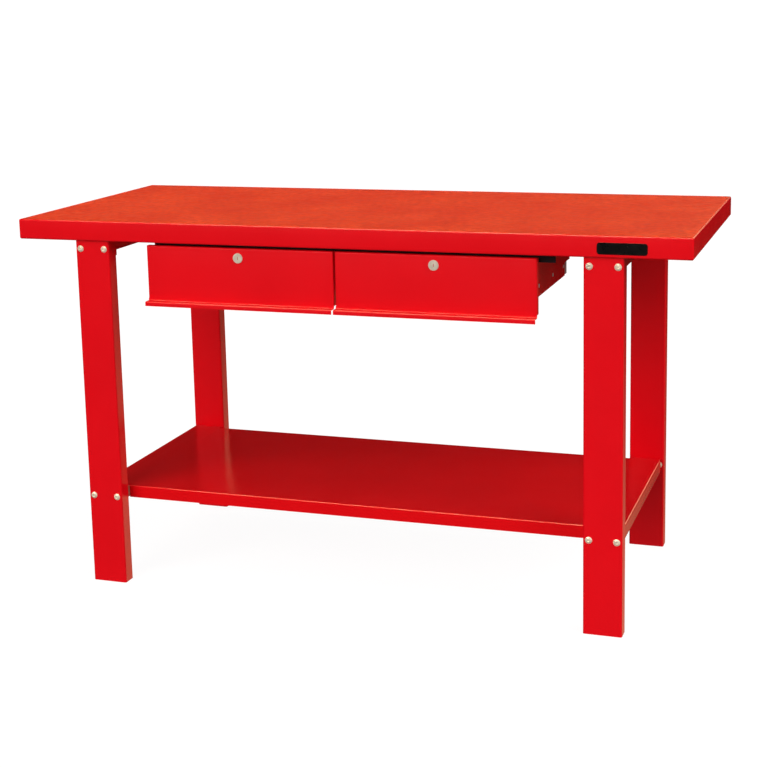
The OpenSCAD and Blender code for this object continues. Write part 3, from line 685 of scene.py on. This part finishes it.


# %% The worktop
# The skin above the folds carries the grained coat, and the lip and everything under it the
# smooth red. The grained coat's orange is partly painted sheen, the warm light that glances off
# the top laid into its colour. The two meet on the fold, where a painter's mask would end.
TOP_SHEET = 2 * MM
TOP_FOLD = 4 * MM
TOP_RIM = 24 * MM
TOP_CORNER = 3 * MM
MASK_DROP = 0.2 * MM
top_lo, top_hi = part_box("worktop_shell")
worktop = piece_from("worktop_sheet", [
    pan(top_lo, top_hi, face_up=True, sheet=TOP_SHEET, fold_r=TOP_FOLD,
        rim=TOP_RIM, rim_r=TOP_FOLD, corner_r=TOP_CORNER)
])
stands_for(worktop, "worktop_shell", red_paint, worktop_paint)
centres = np.empty(len(worktop.data.polygons) * 3)
worktop.data.polygons.foreach_get("center", centres)
grained = centres[2::3] > top_hi.z - MASK_DROP
worktop.data.polygons.foreach_set("material_index", grained.astype(np.int32))
print("grained faces:", int(grained.sum()), "of", len(grained))

# %% The drawer tubs
TUB_SHEET = 1.5 * MM
TUB_FOLD = 3 * MM
TUB_HEM = 7.5 * MM
TUB_CORNER = 2 * MM
SIDES = ("left", "right")
for side in SIDES:
    tub_lo, tub_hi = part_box(f"{side}_tub")
    tub = piece_from(f"{side}_tub_sheet", [
        pan(tub_lo, tub_hi, face_up=False, sheet=TUB_SHEET, fold_r=TUB_FOLD,
            rim=TUB_HEM, rim_r=TUB_FOLD, corner_r=TUB_CORNER)
    ])
    stands_for(tub, f"{side}_tub")

# %% [markdown]
# ## The shelf
#
# The shelf is folded on all four sides too, but its front and back lips stop short of the ends,
# so that the rails and legs can pass. That makes it three bent strips: a long one whose
# section is front lip, face and back lip, and one at each end whose section is face and end lip.

# %% Fold the shelf
SHELF_SHEET = 1.5 * MM
SHELF_BEND = 2.25 * MM
LIP_GAP = 2 * MM
shelf_lo, shelf_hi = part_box("shelf_tray")
rail_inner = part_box("shelf_rail_right")[0].x


def shelf_shells(lo, hi, lip_end):
    """Three closed strips that fill the box from lo to hi; lip_end is the front lip's half length."""
    half = SHELF_SHEET / 2
    face = hi[2] - half
    front, back = lo[1] + half, hi[1] - half
    long_way = bent_section(
        [(front, lo[2]), (front, face), (back, face), (back, lo[2])], SHELF_SHEET, SHELF_BEND
    )
    shells = [carried(long_way, 0, -lip_end, lip_end)]
    for end in (-1, 1):
        edge = end * (hi[0] - half)
        lip = bent_section([(end * lip_end, face), (edge, face), (edge, lo[2])], SHELF_SHEET, SHELF_BEND)
        shells.append(carried(lip, 1, lo[1], hi[1]))
    return shells


shelf = piece_from("shelf_sheet", shelf_shells(shelf_lo, shelf_hi, rail_inner - LIP_GAP))
stands_for(shelf, "shelf_tray", shelf_shaded_coat)

# %% [markdown]
# ## Drawer fronts
#
# A drawer front is a face with returns round its top and sides and a pull along its foot: the
# sheet turns forward as a ledge for the fingertips, then down, so that no raw edge faces the
# hand. It is made of four bent strips. Face and top return are one and the pull is another.
# The side returns stand at the ends, with the small open corners that folded sheet has.

# %% Fold the fronts
FRONT_SHEET = 1.5 * MM
FRONT_BEND = 2 * MM
PULL_REACH = 18 * MM
PULL_DROP = 10 * MM
JOINT_RISE = 5 * MM


def front_shells(lo, hi):
    """Closed shells of a front that fills the box from lo to hi."""
    half = FRONT_SHEET / 2
    face = lo[1] + PULL_REACH + half
    ledge = lo[2] + PULL_DROP - half
    joint = ledge + half + JOINT_RISE
    tuck = FRONT_BEND + half
    tip = lo[1] + half
    upper = bent_section(
        [(hi[1], hi[2] - half), (face, hi[2] - half), (face, joint)], FRONT_SHEET, FRONT_BEND
    )
    pull = bent_section(
        [(face, joint), (face, ledge), (tip, ledge), (tip, lo[2])], FRONT_SHEET, FRONT_BEND
    )
    shells = [carried(upper, 0, lo[0] + tuck, hi[0] - tuck), carried(pull, 0, lo[0], hi[0])]
    for edge, way in ((lo[0], 1), (hi[0], -1)):
        out = edge + way * half
        bend = bent_section([(out, hi[1]), (out, face), (edge + way * tuck, face)],
                            FRONT_SHEET, FRONT_BEND)
        shells.append(carried(bend, 2, joint, hi[2]))
    return shells


# %% Studs welded to the back of a front
STUD_R = 2 * MM
STUD_LEN = 8 * MM
STUD_INSET = 25 * MM


def stud_shell(x, y, z, count=20):
    """A round stud from (x, y, z) along +Y: rings of radius nought, full, full and nought."""
    swing = np.linspace(0, 2 * math.pi, count, endpoint=False)
    radius = np.array([0, 1, 1, 0])[:, None] * STUD_R
    points = np.stack([
        x + radius * np.cos(swing),
        np.broadcast_to(y + np.array([0, 0, 1, 1])[:, None] * STUD_LEN, (4, count)),
        z + radius * np.sin(swing),
    ], axis=-1)
    return points.reshape(-1, 3), grid_quads(4, count, close_v=True)


for side in SIDES:
    front_lo, front_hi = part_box(f"{side}_front")
    tub_lo, tub_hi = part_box(f"{side}_tub")
    middle, width = (tub_lo.x + tub_hi.x) / 2, tub_hi.x - tub_lo.x
    back_of_face = front_lo.y + PULL_REACH + FRONT_SHEET
    stud_xs = (STUD_INSET - width / 2, -width / 6, width / 6, width / 2 - STUD_INSET)
    shells = front_shells(front_lo, front_hi)
    shells += [stud_shell(middle + x, back_of_face, (tub_lo.z + tub_hi.z) / 2) for x in stud_xs]
    stands_for(piece_from(f"{side}_front_sheet", shells), f"{side}_front")

# %% [markdown]
# ## Bolts
#
# The legs are held by button-head bolts. A button head is a low dome with a six-sided socket. A
# cylinder with a hexagon cut out of it would need a boolean and would shade badly round the
# cut. Here one grid does it: rings run from the shank's end over the dome and down into the
# socket, and each ring says how far it is from a circle to a hexagon.

# %% One bolt as rings, copied to its sixteen places
BOLT_PITCH = 58 * MM
BOLT_LEN = 15 * MM
SHANK_R = 4 * MM
HEAD_R = 7.5 * MM
HEAD_H = 4 * MM
SOCKET_R = 2.9 * MM
SOCKET_DEPTH = 2.4 * MM
LEG_SHEET = 2.5 * MM
TIP_CHAMFER = 1 * MM
SOCKET_EDGE = 0.3 * MM
SOCKET_CONE = 0.6 * MM
# Shares of the shank's, the head's and the socket's own radius.
TIP_SHARE = 0.8
UNDER_HEAD_SHARE = 0.98
MOUTH_SHARE = 1.12
WALL_SHARE = 0.97
FLOOR_SHARE = 0.9


def bolt_rings():
    """Radius, height along the axis and share of hexagon of each ring, from tip to socket floor.
    The dome is the arc through the head's rim and its crown."""
    dome_r = (HEAD_R**2 + HEAD_H**2) / (2 * HEAD_H)
    dome = np.linspace(HEAD_R, SOCKET_R * MOUTH_SHARE, 12)
    lift = HEAD_H - dome_r + np.sqrt(dome_r**2 - dome**2)
    wall = SOCKET_R * WALL_SHARE
    floor = HEAD_H - SOCKET_DEPTH
    shank_radius = [0, SHANK_R * TIP_SHARE, SHANK_R, SHANK_R, HEAD_R * UNDER_HEAD_SHARE]
    shank_height = [-BOLT_LEN, -BOLT_LEN, TIP_CHAMFER - BOLT_LEN, 0, 0]
    socket_radius = [wall, wall, wall * FLOOR_SHARE, 0]
    socket_height = [lift[-1] - SOCKET_EDGE, floor + SOCKET_EDGE, floor, floor - SOCKET_CONE]
    radius = np.concatenate([shank_radius, dome, socket_radius])
    height = np.concatenate([shank_height, lift, socket_height])
    hexagon = np.concatenate([np.zeros(len(shank_radius) + len(dome)), [1, 1, 1, 0]])
    return radius, height, hexagon


def bolt_shell(x, y, z, way, count=36):
    """A bolt whose head stands on the point (x, y, z) and faces along Y by way. A hexagon's edge
    lies at its corner radius times cos 30 over the cosine of the angle from its flat's middle."""
    radius, height, hexagon = (values[:, None] for values in bolt_rings())
    swing = np.linspace(0, 2 * math.pi, count, endpoint=False)
    from_flat = np.mod(swing, math.pi / 3) - math.pi / 6
    reach = 1 + hexagon * (math.cos(math.pi / 6) / np.cos(from_flat) - 1)
    points = np.stack([
        x + radius * reach * np.cos(swing),
        np.broadcast_to(y + way * height, (len(radius), count)),
        z + radius * reach * np.sin(swing),
    ], axis=-1)
    return points.reshape(-1, 3), grid_quads(len(radius), count, close_v=True)


shells = []
for end, way in (("front", -1), ("rear", 1)):
    for side in SIDES:
        leg_lo, leg_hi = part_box(f"leg_{end}_{side}")
        seat = leg_lo.y if way < 0 else leg_lo.y + LEG_SHEET
        for rail in ("top_rail", "shelf_rail"):
            rail_lo, rail_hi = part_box(f"{rail}_{side}")
            for step in (-0.5, 0.5):
                x = (leg_lo.x + leg_hi.x) / 2 + step * BOLT_PITCH
                shells.append(bolt_shell(x, seat, (rail_lo.z + rail_hi.z) / 2, way))
stands_for(piece_from("leg_bolt_set", shells), "leg_bolts")

# %% [markdown]
# ## Softened edges
#
# Rails, hangers and locks are small or half hidden, and their CAD shape is right. What gives them
# away is the knife edge, which no sawn, folded or cast piece has. They could be made again from
# grids, but that would only repeat the CAD. Each gets a copy of its CAD mesh with the triangles
# merged and a narrow bevel on every sharp edge.


# %% A bevelled copy of a node
# Faces that turn by less than COPLANAR degrees are one, and edges over BEVEL_ANGLE are rounded.
COPLANAR = 1
BEVEL_ANGLE = 40
BEVEL_STEPS = 2


def softened(node, width):
    """Copies a node's mesh, merges it and rounds its sharp edges by a width in metres."""
    mesh = nodes[node].data.copy()
    mesh.materials.clear()
    work = bmesh.new()
    work.from_mesh(mesh)
    bmesh.ops.remove_doubles(work, verts=work.verts, dist=MERGE_WITHIN)
    bmesh.ops.dissolve_limit(
        work, angle_limit=math.radians(COPLANAR), verts=work.verts, edges=work.edges
    )
    work.to_mesh(mesh)
    work.free()
    for spare in [a.name for a in mesh.attributes if a.name == "custom_normal"]:
        mesh.attributes.remove(mesh.attributes[spare])
    mesh.polygons.foreach_set("use_smooth", np.ones(len(mesh.polygons), bool))
    mesh.set_sharp_from_angle(angle=math.radians(SHARP_ANGLE))
    piece = bpy.data.objects.new(node + "_softened", mesh)
    bpy.context.scene.collection.objects.link(piece)
    bevel = piece.modifiers.new("soft_edge", "BEVEL")
    bevel.width = width
    bevel.segments = BEVEL_STEPS
    bevel.limit_method = "ANGLE"
    bevel.angle_limit = math.radians(BEVEL_ANGLE)
    bevel.harden_normals = True
    stands_for(piece, node)


# Nodes by the width of their soft edge.
SOFT_NODES = {
    0.5 * MM: ["hanger_left", "hanger_centre", "hanger_right", "top_rail_left", "top_rail_right",
               "shelf_rail_left", "shelf_rail_right", "lock_rail", "lock_catch"],
    0.2 * MM: ["label_plate"] + [
        f"{side}_{part}" for side in SIDES
        for part in ("lock_housing", "lock_plug", "lock_cam")
    ],
}
for width, names in SOFT_NODES.items():
    for name in names:
        softened(name, width)
